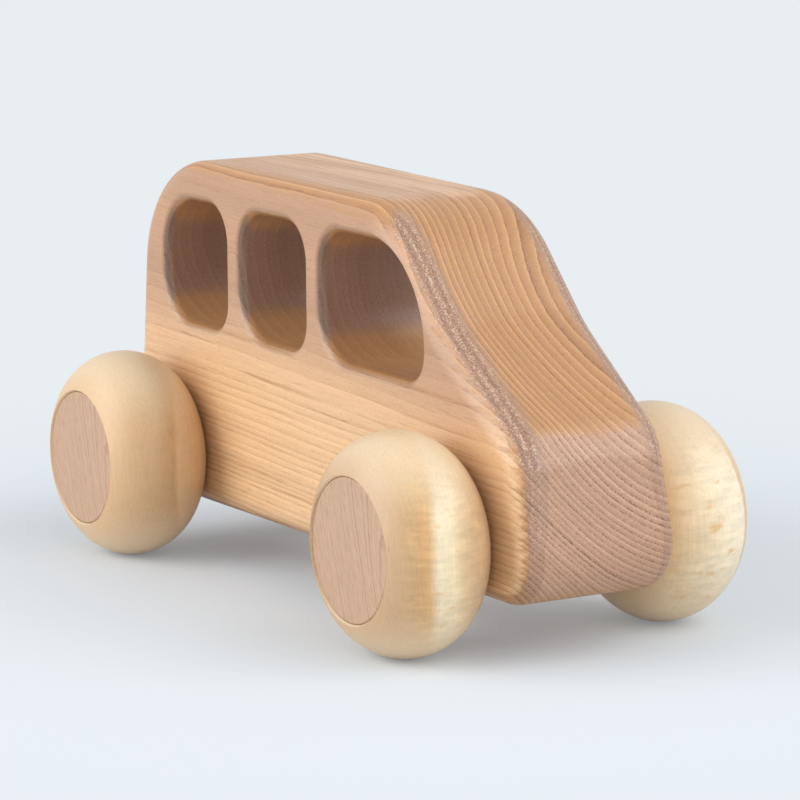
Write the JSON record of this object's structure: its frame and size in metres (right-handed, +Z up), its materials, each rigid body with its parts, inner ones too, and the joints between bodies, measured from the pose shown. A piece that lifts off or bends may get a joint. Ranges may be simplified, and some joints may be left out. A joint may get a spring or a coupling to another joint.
{
  "type": "toy bus",
  "caption": "Wooden toy minibus: one-piece rounded body with window openings cut right through, rolling on ball-shaped wheels fixed to dowel axles that turn in the body.",
  "frame": {"origin": "on the ground under the middle of the bus's length and width", "axes": "+X the way the bus drives, +Y its left side, +Z up"},
  "size_m": [0.1664, 0.084, 0.0867],
  "materials": {
    "oiled_hardwood": "sanded and oiled",
    "turned_birch": "turned, sanded and oiled",
    "hub_birch": "sanded and oiled",
    "dowel": "plain dowel"
  },
  "bodies": {
    "bus_body": {"body": "oiled_hardwood"},
    "front_axle_set": {"front_axle": "dowel", "front_right_wheel": "turned_birch", "front_left_wheel": "turned_birch", "front_right_hub_disc": "hub_birch", "front_left_hub_disc": "hub_birch"},
    "rear_axle_set": {"rear_axle": "dowel", "rear_right_wheel": "turned_birch", "rear_left_wheel": "turned_birch", "rear_right_hub_disc": "hub_birch", "rear_left_hub_disc": "hub_birch"}
  },
  "joints": [
    {"name": "front_axle_spin", "type": "hinge", "parent": "bus_body", "child": "front_axle_set", "pos_m": [0.05629, 0, 0.0225], "axis": [0, 1, 0], "continuous": true},
    {"name": "rear_axle_spin", "type": "hinge", "parent": "bus_body", "child": "rear_axle_set", "pos_m": [-0.06071, 0, 0.0225], "axis": [0, 1, 0], "continuous": true}
  ]
}
